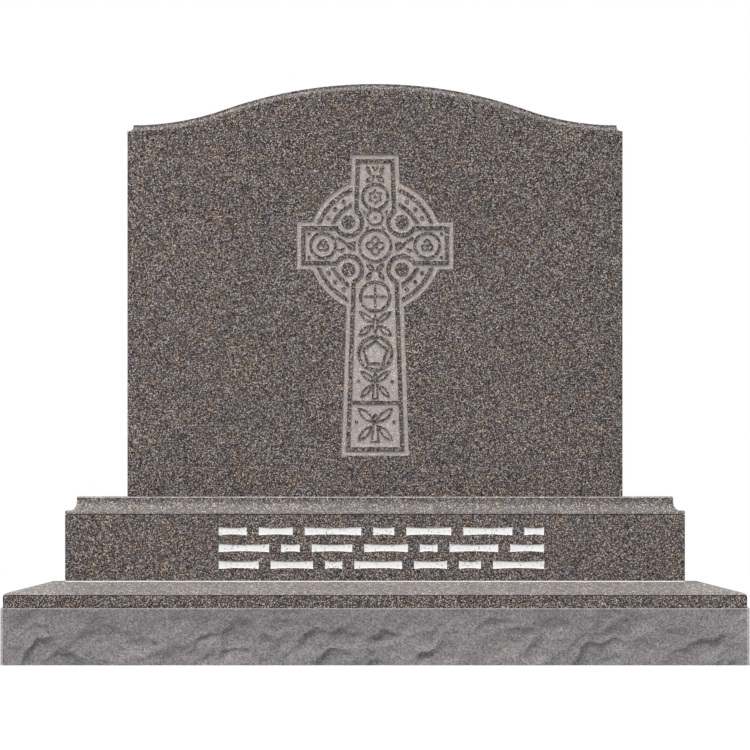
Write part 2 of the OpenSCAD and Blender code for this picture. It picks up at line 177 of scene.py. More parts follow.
# an overlay leaves a colour as it is at level 188, darkens it below that and lightens it above
polishedLook = {
    "crystal": 1.25 * mm, "grit": 0.7 * mm, "gritShare": 0.03,
    "ragged": 0.35 * mm, "raggedPerMetre": 420.0,
    "colours": [(0.0, rgb(2, 2, 4)), (0.25, rgb(8, 8, 16)), (0.38, rgb(31, 29, 33)),
                (0.5, rgb(92, 70, 54)), (0.66, rgb(92, 86, 86)), (0.82, rgb(121, 113, 112)),
                (0.94, rgb(207, 197, 191))],
    "gritColours": [(0.0, rgb(10, 9, 10)), (0.25, rgb(50, 48, 50)), (0.5, rgb(97, 89, 85)),
                    (0.75, rgb(138, 129, 124)), (1.0, rgb(206, 196, 189))],
    "patch": 20 * mm, "patchShare": 0.7,
    "patchColours": [(0.3, rgb(172, 179, 190)), (0.5, rgb(188, 187, 186)),
                     (0.7, rgb(206, 190, 172))],
    "cloud": 110 * mm, "cloudShare": 0.5,
    "cloudColours": [(0.3, rgb(178, 178, 181)), (0.7, rgb(198, 197, 196))],
    "haze": rgb(186, 184, 184), "hazeShare": 0.0, "fade": False, "honedRough": 1.2,
    "rough": (0.16, 0.3), "gloss": 0.25,
    "tooth": 1.2 * mm, "crystalRelief": 0.3, "bump": 0.05, "bumpDepth": 0.05 * mm,
}
# polished stone with painted top light and painted arris highlights, partly a honed finish, where a
# mesh gives its points a honed share
fadingLook = {**polishedLook, "fade": True, "hazeShare": 0.5}
honedLook = {
    **polishedLook, "hazeShare": 0.21, "rough": (0.5, 0.62), "crystal": 2.0 * mm,
    "bump": 0.2, "bumpDepth": 0.12 * mm, "crystalRelief": 0.6,
}
frostedLook = {
    **polishedLook, "haze": rgb(196, 189, 187), "hazeShare": 0.5, "gritShare": 0.25,
    "rough": (0.8, 0.92), "gloss": 0.2,
    "tooth": 0.9 * mm, "bump": 0.5, "bumpDepth": 0.2 * mm, "crystalRelief": 1.0,
}
polishedGranite = graniteFinish("polishedGranite", polishedLook)
fadingGranite = graniteFinish("polishedToHonedWithPaintedLightGranite", fadingLook)
honedGranite = graniteFinish("honedGranite", honedLook)
frostedGranite = graniteFinish("frostedGranite", frostedLook)

rockLook = {
    **polishedLook,
    "crystal": 2.4 * mm, "grit": 1.5 * mm, "gritShare": 0.5,
    "colours": [(0.0, rgb(80, 78, 79)), (0.3, rgb(114, 111, 112)), (0.6, rgb(135, 132, 132)),
                (0.9, rgb(163, 160, 160))],
    "gritColours": [(0.0, rgb(90, 88, 89)), (0.5, rgb(129, 126, 127)), (1.0, rgb(166, 162, 162))],
    "patch": 30 * mm, "patchShare": 0.25,
    "patchColours": [(0.3, rgb(176, 176, 178)), (0.7, rgb(199, 197, 196))],
    "rough": (0.82, 0.95), "gloss": 0.2,
    "tooth": 2.4 * mm, "bump": 0.4, "bumpDepth": 0.35 * mm, "crystalRelief": 0.3,
}
tooledLook = {
    **rockLook, "hazeShare": 0.34,
    "tooth": 1.6 * mm, "bump": 0.3, "bumpDepth": 0.2 * mm,
}
rockGranite = graniteFinish("rockFacedGranite", rockLook)
tooledGranite = graniteFinish("tooledDraftGranite", tooledLook)


def paintFinish(look):
    # brushed-in stone paint: nearly white, thin in places where the stone's tooth shows through
    material = bpy.data.materials.new("whiteStonePaint")
    node = nodeKit(material)
    place = node("ShaderNodeTexCoord").outputs["Object"]
    tooth = noiseTexture(node, place, 1 / look["tooth"], 3.0)["Fac"]
    speckLevels = randomCells(node, place, look["speck"])[1]
    specks = colourRamp(node, speckLevels[0], [
        (0.0, look["speckColour"]), (look["speckShare"], look["thinColour"]),
        (look["speckShare"] + look["thinShare"], look["colour"])])
    shade = colourRamp(node, tooth, look["shades"])
    colour = mixColour(node, look["shadeShare"], specks, shade, "OVERLAY")
    stoneSurface(node, look, colour, roughFrom(node, tooth, look), tooth)
    return material


paintLook = {
    "colour": rgb(240, 240, 239), "thinColour": rgb(214, 213, 211), "thinShare": 0.1,
    "speck": 2.2 * mm, "speckShare": 0.05, "speckColour": rgb(150, 146, 144),
    "shades": [(0.3, rgb(178, 178, 178)), (0.7, rgb(192, 192, 192))], "shadeShare": 0.6,
    "rough": (0.55, 0.75), "gloss": 0.5,
    "tooth": 1.4 * mm, "bump": 0.5, "bumpDepth": 0.2 * mm,
}
whitePaint = paintFinish(paintLook)


def mortarFinish(look):
    # sandy joint: pale grains with a few darker ones, and faint stains
    material = bpy.data.materials.new("paleSettingMortar")
    node = nodeKit(material)
    place = node("ShaderNodeTexCoord").outputs["Object"]
    sand, sandLevels = randomCells(node, place, look["sand"])
    grains = colourRamp(node, sandLevels[0], look["colours"])
    cloud = noiseTexture(node, place, 1 / look["cloud"], 3.0)["Fac"]
    stain = colourRamp(node, cloud, look["stains"])
    colour = mixColour(node, look["stainShare"], grains, stain, "OVERLAY")
    rough = roughFrom(node, sandLevels[1], look)
    stoneSurface(node, look, colour, rough, sand.outputs["Distance"])
    return material


mortarLook = {
    "sand": 0.8 * mm,
    "colours": [(0.0, rgb(236, 234, 230)), (0.25, rgb(250, 249, 247)), (1.0, rgb(254, 254, 252))],
    "cloud": 60 * mm, "stainShare": 0.5,
    "stains": [(0.35, rgb(176, 174, 170)), (0.65, rgb(194, 193, 192))],
    "rough": (0.85, 0.97), "gloss": 0.5, "bump": 0.6, "bumpDepth": 0.2 * mm,
}
paleMortar = mortarFinish(mortarLook)
print("finishes made")


def placeObject(name, data):
    made = bpy.data.objects.new(name, data)
    bpy.context.scene.collection.objects.link(made)
    return made


def measures(low, high):
    # half width, half depth, foot and top of a box, in millimetres
    return high.x / mm, high.y / mm, low.z / mm, high.z / mm


def pointTree(points):
    tree = kdtree.KDTree(len(points))
    for i, p in enumerate(points):
        tree.insert(p, i)
    tree.balance()
    return tree


arcPoints = 3  # in the eased corner of a ring


class StoneMesh:
    # gathers points in millimetres, and faces that each have the number of a finish
    def __init__(self, name, finishes):
        self.name, self.finishes = name, finishes
        self.points, self.honed, self.faces, self.finishOf = [], [], [], []

    def addPoints(self, points, honed=0.0):
        start = len(self.points)
        self.points.extend(tuple(map(float, p)) for p in points)
        self.honed.extend([honed] * len(points))
        return list(range(start, len(self.points)))

    def addFace(self, corners, finish=0):
        # a point used twice in a row is left out, so a corner may shrink to nothing
        kept = [c for i, c in enumerate(corners) if c != corners[i - 1]]
        if len(kept) > 2:
            self.faces.append(kept)
            self.finishOf.append(finish)

    def strip(self, upper, lower, finish=0, closed=True):
        # upper and lower run to the right, as seen from outside
        count = len(upper)
        for i in range(count if closed else count - 1):
            j = (i + 1) % count
            self.addFace([upper[i], lower[i], lower[j], upper[j]], finish)

    def addRing(self, rings, points, finish=0, honed=0.0):
        # the next ring down, joined to the last one
        rings.append(self.addPoints(points, honed))
        if len(rings) > 1:
            self.strip(rings[-2], rings[-1], finish)

    def closeRound(self, upper, lower, endFront):
        # ends and back between two rings; the front, up to point endFront, is left to be carved
        self.strip(upper[:arcPoints], lower[:arcPoints], closed=False)
        self.strip(upper[endFront:] + upper[:1], lower[endFront:] + lower[:1], closed=False)

    def make(self, weld=0.004, sharpAngle=28):
        # one point stands for all that lie together, and the mesh is made in metres
        points = np.array(self.points)
        tree = pointTree(points)
        first = np.arange(len(points))
        for i, p in enumerate(points):
            first[i] = min(k for _, k, _ in tree.find_range(p, weld))
        first = first[first]
        used, place = np.unique(first, return_inverse=True)
        faces, finishes = [], []
        for corners, finish in zip(self.faces, self.finishOf):
            welded = [int(place[c]) for c in corners]
            welded = [c for i, c in enumerate(welded) if c != welded[i - 1]]
            if len(set(welded)) == len(welded) > 2:
                faces.append(welded)
                finishes.append(finish)
        mesh = bpy.data.meshes.new(self.name)
        mesh.from_pydata((points[used] * mm).tolist(), [], faces)
        mesh.polygons.foreach_set("material_index", np.array(finishes, np.int32))
        # a share of pale haze for each point: partly honed finish, partly painted light from above
        # and painted arris highlights
        if max(self.honed) > 0:
            honed = mesh.attributes.new("honed", "FLOAT", "POINT")
            honed.data.foreach_set("value", np.array(self.honed, np.float32)[used])
        for finish in self.finishes:
            mesh.materials.append(finish)
        mesh.shade_smooth()
        mesh.set_sharp_from_angle(angle=math.radians(sharpAngle))
        mesh.validate()
        triangles = sum(len(f) - 2 for f in faces)
        print(f"  {self.name}: {len(used)} points, {triangles} triangles")
        return placeObject(self.name, mesh)


def cornerArc(centreX, centreY, radius, start):
    angles = [math.radians(start + 90 * i / (arcPoints - 1)) for i in range(arcPoints)]
    return [(centreX + radius * math.cos(a), centreY + radius * math.sin(a)) for a in angles]


def slabRing(halfX, halfY, radius, z):
    # level ring round a slab with eased corners, from the left end of the front to the right
    ring = (cornerArc(-halfX + radius, -halfY + radius, radius, 180)
            + cornerArc(halfX - radius, -halfY + radius, radius, 270)
            + cornerArc(halfX - radius, halfY - radius, radius, 0)
            + cornerArc(-halfX + radius, halfY - radius, radius, 90))
    return [(x, y, z) for x, y in ring]


def coveProfile(look):
    # (down, in) from a top edge: eased arris, fillet, hollow, ledge, eased arris
    fillet, radius, height = look["fillet"], look["cove"], look["coveH"]
    ledge, ease, steps = look["ledge"], look["arris"], look["coveSteps"]
    mid = ledge - math.sqrt(max(radius ** 2 - height ** 2, 0))
    inset = mid + radius
    last = math.asin(min(height / radius, 1))
    turns = [last * i / steps for i in range(steps + 1)]
    hollow = [(fillet + radius * math.sin(t), mid + radius * math.cos(t)) for t in turns]
    foot = fillet + height
    return [(0, inset + ease), (ease, inset)] + hollow + [(foot, ease), (foot + ease, 0)]


def insideShape(points, shape):
    # True where a point lies inside a closed line
    x, y = points[:, 0], points[:, 1]
    found = np.zeros(len(points), bool)
    for (ax, ay), (bx, by) in zip(shape, np.roll(shape, -1, axis=0)):
        if ay != by:
            crosses = (ay > y) != (by > y)
            found ^= crosses & (x < (bx - ax) * (y - ay) / (by - ay) + ax)
    return found


def triangulate(lines, loosePoints=(), epsilon=0.02):
    # every triangle between the closed lines and the loose points
    points, edges = [], []
    for line in lines:
        start = len(points)
        points.extend(Vector((float(p[0]), float(p[1]))) for p in line)
        edges.extend((start + i, start + (i + 1) % len(line)) for i in range(len(line)))
    points.extend(Vector((float(p[0]), float(p[1]))) for p in loosePoints)
    made = delaunay_2d_cdt(points, edges, [], 0, epsilon, False)
    return np.array([tuple(p) for p in made[0]]), np.array(made[2])


carving = {
    "scatter": 0.35,  # how far a loose point strays, as a share of the pitch
    "mitre": 0.6,  # keeps a sharp corner from moving too far
    "squeeze": 0.15, "shrink": 0.6, "tries": 6,  # for triangles that the slopes would turn over
    "swell": 0.6, "swellScale": 0.11, "swellLayer": 3.1,
    "edgeWave": 0.25,  # the ground is calmer where it meets a wall
    "sliver": 1e-5,
}


def carve(stone, outline, shapes, isGround, look, finishes):
    # cuts a face with sunk ground: flat stone, eased arris, sloped wall and uneven ground
    # points are (across, up), front is where the face lies, and depth how far the ground is sunk
    faceFinish, wallFinish, groundFinish = finishes

    def sortTriangles(points, triangles):
        middles = points[triangles].mean(axis=1)
        area = np.cross(points[triangles[:, 1]] - points[triangles[:, 0]],
                        points[triangles[:, 2]] - points[triangles[:, 0]])
        keep = insideShape(middles, outline) & (np.abs(area) > carving["sliver"])
        triangles, middles, area = triangles[keep], middles[keep], area[keep]
        triangles[area < 0] = triangles[area < 0][:, ::-1]
        return triangles, isGround(middles)

    def borders(triangles, ground):
        # edges that have flat stone on one side and ground on the other, with both triangles
        owner = {edge: t for t, (p, q, r) in enumerate(triangles.tolist())
                 for edge in ((p, q), (q, r), (r, p))}
        found = []
        for (a, b), t in owner.items():
            other = owner.get((b, a))
            if other is not None and not ground[t] and ground[other]:
                found.append((a, b, t, other))
        return found, owner

    # the first pass finds the true borders, the second fills between them afresh
    points, triangles = triangulate([outline] + shapes)
    triangles, ground = sortTriangles(points, triangles)
    found, _ = borders(triangles, ground)
    segments = [np.array([points[a], points[b]]) for a, b, _, _ in found]
    onBorder = []
    for start, end in segments:
        count = 2 + int(math.dist(start, end) / look["clear"])
        onBorder += [start + (end - start) * k / (count - 1) for k in range(count)]
    near = pointTree([(p[0], p[1], 0) for p in onBorder])
    corners = np.concatenate(segments)
    (lowX, lowY), (highX, highY) = corners.min(axis=0), corners.max(axis=0)
    gridX, gridY = np.meshgrid(np.arange(lowX, highX, look["pitch"]),
                               np.arange(lowY, highY, look["pitch"]))
    loose = np.column_stack([gridX.ravel(), gridY.ravel()])
    scatter = carving["scatter"]
    loose = loose + chance.uniform(-scatter, scatter, loose.shape) * look["pitch"]
    loose = loose[isGround(loose) & insideShape(loose, outline)]
    loose = [p for p in loose if near.find((p[0], p[1], 0))[2] > look["clear"]]
    points, triangles = triangulate([outline] + segments, loose)
    triangles, ground = sortTriangles(points, triangles)
    found, owner = borders(triangles, ground)

    # a point on a border splits into one corner for each stretch of flat stone or ground round it
    parent = list(range(3 * len(triangles)))
    cornerAt = {(t, p): 3 * t + k for t, corners in enumerate(triangles.tolist())
                for k, p in enumerate(corners)}

    def root(t, p):
        c = cornerAt[t, p]
        while parent[c] != c:
            parent[c] = parent[parent[c]]
            c = parent[c]
        return c

    for (a, b), t in owner.items():
        other = owner.get((b, a))
        if other is not None and ground[t] == ground[other]:
            for p in (a, b):
                parent[root(t, p)] = root(other, p)
    roots = [[root(t, p) for p in corners] for t, corners in enumerate(triangles.tolist())]

    normals = {}
    for a, b, t, other in found:
        along = points[b] - points[a]
        outward = np.array([along[1], -along[0]]) / max(np.hypot(*along), 1e-9)
        for c in (root(t, a), root(other, a), root(t, b), root(other, b)):
            normals.setdefault(c, []).append(outward)
    shift = {}
    for c, sides in normals.items():
        total = np.sum(sides, axis=0)
        size = np.hypot(*total)
        if size < 1e-6:
            shift[c] = np.zeros(2)
            continue
        total = total / size
        lean = max(np.mean([s @ total for s in sides]), carving["mitre"])
        shift[c] = total / lean * (look["slope"] if ground[c // 3] else -look["ease"])
    for _ in range(carving["tries"]):  # the shifts shrink where a triangle would turn over
        turned = 0
        for was, rootsHere in zip(points[triangles], roots):
            now = [p + shift.get(c, 0) for p, c in zip(was, rootsHere)]
            before = np.cross(was[1] - was[0], was[2] - was[0])
            after = np.cross(now[1] - now[0], now[2] - now[0])
            if after < carving["squeeze"] * before:
                turned += 1
                for c in rootsHere:
                    if c in shift:
                        shift[c] = shift[c] * carving["shrink"]
        if turned == 0:
            break

    front, depth, ease = look["front"], look["depth"], look["ease"]
    swellScale = carving["swellScale"]
    made = {}
    for corners, rootsHere, sunk in zip(points[triangles], roots, ground):
        for corner, c in zip(corners, rootsHere):
            if c not in made:
                p = corner + shift.get(c, 0)
                y = front
                if sunk:
                    swell = (p[0] * swellScale, p[1] * swellScale, carving["swellLayer"])
                    wave = noise.noise(swell) * carving["swell"]
                    wave += chance.uniform(-1, 1) * (carving["edgeWave"] if c in shift else 1)
                    y += depth + look["uneven"] * wave
                made[c] = stone.addPoints([(p[0], y, p[1])])[0]
        stone.addFace([made[c] for c in rootsHere], groundFinish if sunk else faceFinish)

    # each border gets its eased arris and its sloped wall
    middle = {}
    for a, b, t, other in found:
        groundA, groundB = root(other, a), root(other, b)
        for p, c in ((a, groundA), (b, groundB)):
            if c not in middle:
                middle[c] = stone.addPoints([(points[p][0], front + ease, points[p][1])])[0]
        topA, topB = made[root(t, a)], made[root(t, b)]
        stone.addFace([topB, topA, middle[groundA], middle[groundB]], faceFinish)
        stone.addFace([middle[groundB], middle[groundA], made[groundA], made[groundB]], wallFinish)
    print(f"  carved: {len(triangles)} triangles, {len(found)} border edges, {turned} tight")


def discShape(x, y, radius, step=2.2):
    # a round as straight steps of about the same length
    count = max(14, int(round(2 * math.pi * radius / step / 2)) * 2)
    angles = 2 * math.pi * (np.arange(count) + 0.5) / count
    return np.column_stack([x + radius * np.cos(angles), y + radius * np.sin(angles)])


def barShape(start, end, width):
    start, end = np.array(start, float), np.array(end, float)
    along = (end - start) / np.hypot(*(end - start))
    side = np.array([-along[1], along[0]]) * width / 2
    return np.array([start - side, end - side, end + side, start + side])


def almondShape(radius, mid, steps=9):
    # what two rounds share that have their middles 2 x mid apart
    half = math.asin(math.sqrt(max(radius ** 2 - mid ** 2, 0)) / radius)
    angles = np.linspace(-half, half, steps)
    low = np.column_stack([radius * np.sin(angles), mid - radius * np.cos(angles)])
    return np.concatenate([low, -low[1:-1]])


def leafShapes(stalk, tip, width, line):
    # the outer and the inner edge of a leaf's line
    stalk, tip = np.array(stalk, float), np.array(tip, float)
    along = tip - stalk
    length = np.hypot(*along)
    radius = (length ** 2 + width ** 2) / (4 * width)
    turn = math.atan2(along[1], along[0])
    spin = np.array([[math.cos(turn), math.sin(turn)], [-math.sin(turn), math.cos(turn)]])
    mid = radius - width / 2
    return [almondShape(r, mid) @ spin + (stalk + tip) / 2 for r in (radius, radius - line)]


def starShape(count, outer, inner, x=0.0, y=0.0):
    turns = np.pi * np.arange(2 * count) / count
    reach = np.where(np.arange(2 * count) % 2 == 0, outer, inner)
    return np.column_stack([x + reach * np.sin(turns), y + reach * np.cos(turns)])


def mirrored(shape):
    return (np.array(shape, float) * [-1, 1])[::-1]


tablet = {
    "crownDrop": 76.2, "crownPart": 0.626, "arcSteps": 22,  # the crown's share of the radii
    "fillet": 2.5, "cove": 8.5, "coveH": 8.5, "ledge": 2.5, "coveSteps": 6,
    "arris": 0.3, "cornerEase": 0.6, "innerEase": 0.3,
    # a pale band on the upper cove: partly honed finish, partly painted light from above
    "honed": 0.3, "honedFrom": 2.6, "honedTo": 8.0,
    "headroom": 130.4, "footroom": 75.6,  # plain stone above and below the cross
}
cross = {  # millimetres from the middle of the cross at the tablet's full height
    "up": 159.4, "down": 380.2, "side": 136.4, "halfH": 36, "halfW": 41, "taper": 0.0343,
    "border": 8.2, "outline": 7.6,  # sunk margin round the cross, and the proud line inside it
    "eye": (49.4, 43.8), "biteR": 21.1, "eyeR": 12.6,  # hollows at the crossing, a boss in each
    "ringOuter": (115.3, 108.1), "ringInner": (91.5, 84.3), "ringBorder": 8.7, "ringGap": 5,
    "studR": 4, "studRing": 99.8, "studAngles": (30.4, 42.3, 54.2),  # studs between the two rings
    "panels": [(0, 0, 31.6, 26.6), (-96.2, 0, 25.5, 20.5), (96.2, 0, 25.5, 20.5),
               (0, 90.3, 25.8, 20.5), (0, 52.3, 15.8, 12), (0, -94, 29.6, 24.2),
               (0, -199, 33.4, 27.6)],  # x, y, outer and inner radius
    "fineLine": 3.2,
    "sideLeaves": [((9, 131), (15.5, 148), 8), ((1, 130), (17, 117), 10),
                   ((1, -46.5), (17, -33), 10), ((6, -48), (16.8, -64), 9),
                   ((2, -143), (30.5, -121), 12), ((6, -147), (31, -167), 13),
                   ((1, -252), (27.5, -231), 12), ((5, -256), (27.5, -281), 12),
                   ((2, -327), (32.5, -299.5), 16), ((5, -332), (32.5, -361), 14)],
    "middleLeaves": [((0, -164), (0, -126.5), 11), ((0, -253), (0, -234), 8.5),
                     ((0, -328), (0, -309), 9)],  # stalk, tip, width
    "stems": [((3, -252), (4.4, -282)), ((3, -328), (6.2, -362))],
    "stemFeet": [(5.6, -282), (8.6, -362)],
    "wedges": [[(36, 9), (50, 5), (37, -4)], [(56, -4), (71, -8), (61, -13)],
               [(17, 62), (23, 66), (20.5, 54)], [(12, 36), (18, 32), (14, 28)]],
    "chevron": ((0, 138.5), (5.4, 147)),
    "dotR": 3, "middleDots": [(0, 52.3), (0, 90.3), (0, -94)],
    "sideDots": [(34.5, -325.5), (31, -251), (122.4, 22), (122.4, -22)],
    "divider": -290.1, "dividerWidth": 6.8,
    "plusReach": 20.5, "plusWidth": 3.7, "plusMiddle": -94,
    "rosette": (6, 14.4, 9, 90.3), "star": (5, 27, 20.5, -199),  # points, two radii, height
    "flowerLine": 0.78,
    "middleKnot": (4, 8.4, 9.2), "sideKnot": (3, 7, 5.2),  # rings, radius, distance from the middle
    "sideKnotAt": 96.2,
    "strap": [(71, 14.5), (58, 8), (47, -4.5), (37, -7)], "strapWidth": 4.6,
    "ground": {"depth": 2.5, "ease": 0.3, "slope": 0.6, "uneven": 0.22, "pitch": 3.2, "clear": 1.5},
}


fourWays = [(-1, -1), (-1, 1), (1, -1), (1, 1)]


def crossBody(grow):
    # the cross without its ring, grown by a margin: solid parts, and the bites at the crossing
    def halfW(y):
        return cross["halfW"] - cross["taper"] * y

    top, foot = cross["up"] + grow, -cross["down"] - grow
    upright = np.array([(-halfW(top) - grow, top), (-halfW(foot) - grow, foot),
                        (halfW(foot) + grow, foot), (halfW(top) + grow, top)])
    sideW, sideH = cross["side"] + grow, cross["halfH"] + grow
    arms = np.array([(-sideW, -sideH), (sideW, -sideH), (sideW, sideH), (-sideW, sideH)])
    eyeX, eyeY = cross["eye"]
    bites = [discShape(sx * eyeX, sy * eyeY, cross["biteR"] - grow) for sx, sy in fourWays]
    return {"solid": [upright, arms], "bites": bites}


def inAny(points, shapes):
    found = np.zeros(len(points), bool)
    for shape in shapes:
        found |= insideShape(points, shape)
    return found


def inRings(points, rings):
    found = np.zeros(len(points), bool)
    for outer, hole in rings:
        found |= insideShape(points, outer) & ~insideShape(points, hole)
    return found


def inBody(points, body):
    return inAny(points, body["solid"]) & ~inAny(points, body["bites"])


def crossShapes():
    # the marks that stand proud of the sunk ground: solid ones, and ones with a hollow middle
    line = cross["fineLine"]
    solid, hollow = [], []
    for x, y, outer, inner in cross["panels"]:
        hollow.append((discShape(x, y, outer), discShape(x, y, inner)))
    eyeX, eyeY = cross["eye"]
    for sx, sy in fourWays:
        solid.append(discShape(sx * eyeX, sy * eyeY, cross["eyeR"]))
        for angle in map(math.radians, cross["studAngles"]):
            solid.append(discShape(sx * cross["studRing"] * math.cos(angle),
                                   sy * cross["studRing"] * math.sin(angle), cross["studR"]))
    divider = cross["divider"]
    half = cross["halfW"] - cross["taper"] * divider
    solid.append(barShape((-half, divider), (half, divider), cross["dividerWidth"]))
    oneSide = [barShape(a, b, cross["strapWidth"])
               for a, b in zip(cross["strap"], cross["strap"][1:])]
    oneSide += [discShape(x, y, cross["dotR"]) for x, y in cross["sideDots"]]
    oneSide += [barShape(a, b, line) for a, b in cross["stems"]]
    oneSide += [np.array(w, float) for w in cross["wedges"]]
    oneSide.append(barShape(*cross["chevron"], line))
    for shape in oneSide:
        solid += [shape, mirrored(shape)]
    for leaf in cross["sideLeaves"]:
        outer, inner = leafShapes(*leaf, line)
        hollow += [(outer, inner), (mirrored(outer), mirrored(inner))]
    hollow += [tuple(leafShapes(*leaf, line)) for leaf in cross["middleLeaves"]]
    solid += [barShape((-w, y), (w, y), line) for w, y in cross["stemFeet"]]
    solid += [discShape(x, y, cross["dotR"]) for x, y in cross["middleDots"]]
    sideAt = cross["sideKnotAt"]
    knots = ((cross["middleKnot"], [0]), (cross["sideKnot"], [-sideAt, sideAt]))
    for (count, radius, out), centres in knots:
        for x in centres:
            for i in range(count):
                turn = 2 * math.pi * i / count
                spot = (x - out * math.sin(turn), out * math.cos(turn))
                hollow.append((discShape(*spot, radius), discShape(*spot, radius - line)))
    for count, outer, inner, y in (cross["rosette"], cross["star"]):
        part = cross["flowerLine"]
        hollow.append((starShape(count, outer, inner, 0, y),
                       starShape(count, outer * part, inner * part, 0, y)))
    reach, width, middle = cross["plusReach"], cross["plusWidth"], cross["plusMiddle"]
    solid.append(barShape((-reach, middle), (reach, middle), width))
    solid.append(barShape((0, middle - reach), (0, middle + reach), width))
    return solid, hollow


def buildTablet():
    halfX, halfY, bottom, crown = measures(*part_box("tablet"))
    inset = tablet["cove"] + tablet["ledge"]

    # the top line: a crown between two hollow shoulders, all of them round arcs
    run, drop = halfX - inset, tablet["crownDrop"]
    bothR = (run ** 2 + drop ** 2) / (2 * drop)
    crownR = bothR * tablet["crownPart"]
    shoulderR = bothR - crownR
    turn = math.asin(run / bothR)
    shoulder = crown - drop
    leans = [turn * i / tablet["arcSteps"] for i in range(tablet["arcSteps"] + 1)]
    right = [(crownR * math.sin(t), crown - crownR + crownR * math.cos(t), t) for t in leans]
    right += [(run - shoulderR * math.sin(t), shoulder + shoulderR - shoulderR * math.cos(t), t)
              for t in leans[-2:0:-1]]
    topLine = [(-x, z, -lean) for x, z, lean in right[:0:-1]] + right

    def ring(down, into, corner):
        # the whole way round at one point of the moulding
        x, y, z = halfX - into, halfY - into, shoulder - down
        front = [(px - down * math.sin(lean), -y, pz - down * math.cos(lean))
                 for px, pz, lean in topLine]
        back = [(px, -py, pz) for px, py, pz in reversed(front)]
        arcs = [cornerArc(sx * (x - corner), sy * (y - corner), corner, start)
                for sx, sy, start in ((-1, -1, 180), (1, -1, 270), (1, 1, 0), (-1, 1, 90))]
        arcs = [[(ax, ay, z) for ax, ay in arc] for arc in arcs]
        return arcs[0] + front + arcs[1] + arcs[2] + back + arcs[3]

    stone = StoneMesh("granite_tablet", [polishedGranite, fadingGranite, frostedGranite])
    profile = coveProfile(tablet)
    rings = []
    for down, into in profile:
        corner = tablet["cornerEase"] if into < 1 else tablet["innerEase"]
        # painted top light: the band of the cove between these depths is made paler as if lit from
        # above
        honed = tablet["honed"] if tablet["honedFrom"] < down < tablet["honedTo"] else 0
        stone.addRing(rings, ring(down, into, corner), 1, honed)
    half = len(rings[0]) // 2
    frontTop, backTop = rings[0][:half], rings[0][half:][::-1]
    stone.strip(backTop, frontTop, closed=False)

    # ends and back go straight down; the front is carved
    lowest = rings[-1]
    foot = stone.addPoints([(stone.points[i][0], stone.points[i][1], bottom) for i in lowest])
    endFront = arcPoints + len(topLine)  # first point of the right corner
    stone.closeRound(lowest, foot, endFront)
    stone.strip(foot[:half], foot[half:][::-1], closed=False)
    edge = lowest[arcPoints - 1:endFront + 1] + foot[arcPoints - 1:endFront + 1][::-1]
    outline = np.array([(stone.points[i][0], stone.points[i][2]) for i in edge])[::-1]

    # the cross is drawn round its own middle, then scaled and put in place
    ownHeight = cross["up"] + cross["down"] + 2 * cross["border"]
    scale = (crown - bottom - tablet["headroom"] - tablet["footroom"]) / ownHeight
    middle = bottom + tablet["footroom"] + (cross["down"] + cross["border"]) * scale
    solid, hollow = crossShapes()
    wide, true = crossBody(cross["border"]), crossBody(0)
    inner, gap = crossBody(-cross["outline"]), crossBody(cross["ringGap"])
    disc = discShape(0, 0, cross["ringOuter"][0] + cross["ringBorder"])
    ringLines = [(discShape(0, 0, outer), discShape(0, 0, hole))
                 for outer, hole in (cross["ringOuter"], cross["ringInner"])]

    def isGround(at):
        # sunk ground is all that lies within the cross and its ring and isn't a proud mark
        p = (at - [0, middle]) / scale
        proud = inBody(p, true) & ~inBody(p, inner)
        proud |= inRings(p, ringLines) & ~inBody(p, gap)
        proud |= inAny(p, solid) | inRings(p, hollow)
        return (inBody(p, wide) | insideShape(p, disc)) & ~proud

    shapes = [disc] + solid + [s for pair in hollow + ringLines for s in pair]
    for body in (wide, true, inner, gap):
        shapes += body["solid"] + body["bites"]
    shapes = [s * scale + [0, middle] for s in shapes]
    ground = {**cross["ground"], "front": -halfY}
    carve(stone, outline, shapes, isGround, ground, (0, 2, 2))
    return stone.make()


tabletPiece = buildTablet()
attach(tabletPiece, "root")
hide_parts("tablet")
print("tablet built")


plinth = {
    "fillet": 9.8, "cove": 17.4, "coveH": 16.6, "ledge": 9.4, "coveSteps": 8,
    "arris": 0.7, "topArris": 2.2, "cornerEase": 0.8, "innerEase": 0.6,
    "quirkDrop": 5.4, "quirk": 1.8, "quirkDeep": 3.5, "quirkEase": 0.2, "quirkSlope": 0.3,
    # top arris fully pale as a painted highlight; fillet, cove, ledge and the band under it paler
    # as painted light from above; partly a honed finish
    "topHonedAndPaintedHighlight": 1.0, "coveHonedAndPaintedLight": 0.22, "ledgeHonedAndPaintedLight": 0.5, "fadeFrom": 4.0, "fadeOver": 6.0,
    "strokeSide": 271.5, "strokeShift": 11.7,  # plain stone beside the rows, and their shift right
    "strokeHeadroom": 22.4, "strokeRise": 22,
    "strokeThick": 15, "strokeWaist": 11.5, "rows": 3, "strokes": 7, "strokeGap": 22,
    "vary": 0.5, "beat": 131, "rowBeat": 97, "rowStart": 20,
    "cut": {"depth": 1.5, "ease": 0.2, "slope": 0.5, "uneven": 0.12, "pitch": 4.0, "clear": 1.5},
}


def strokeShape(x, y, length, points=9):
    # a dash that is a little slimmer at its waist
    t = np.linspace(0, 1, points)
    thick, waist = plinth["strokeThick"], plinth["strokeWaist"]
    half = (waist + (thick - waist) * (2 * t - 1) ** 2) / 2
    low = np.column_stack([x + t * length, y - half])
    high = np.column_stack([x + t * length, y + half])
    return np.concatenate([low, high[::-1]])


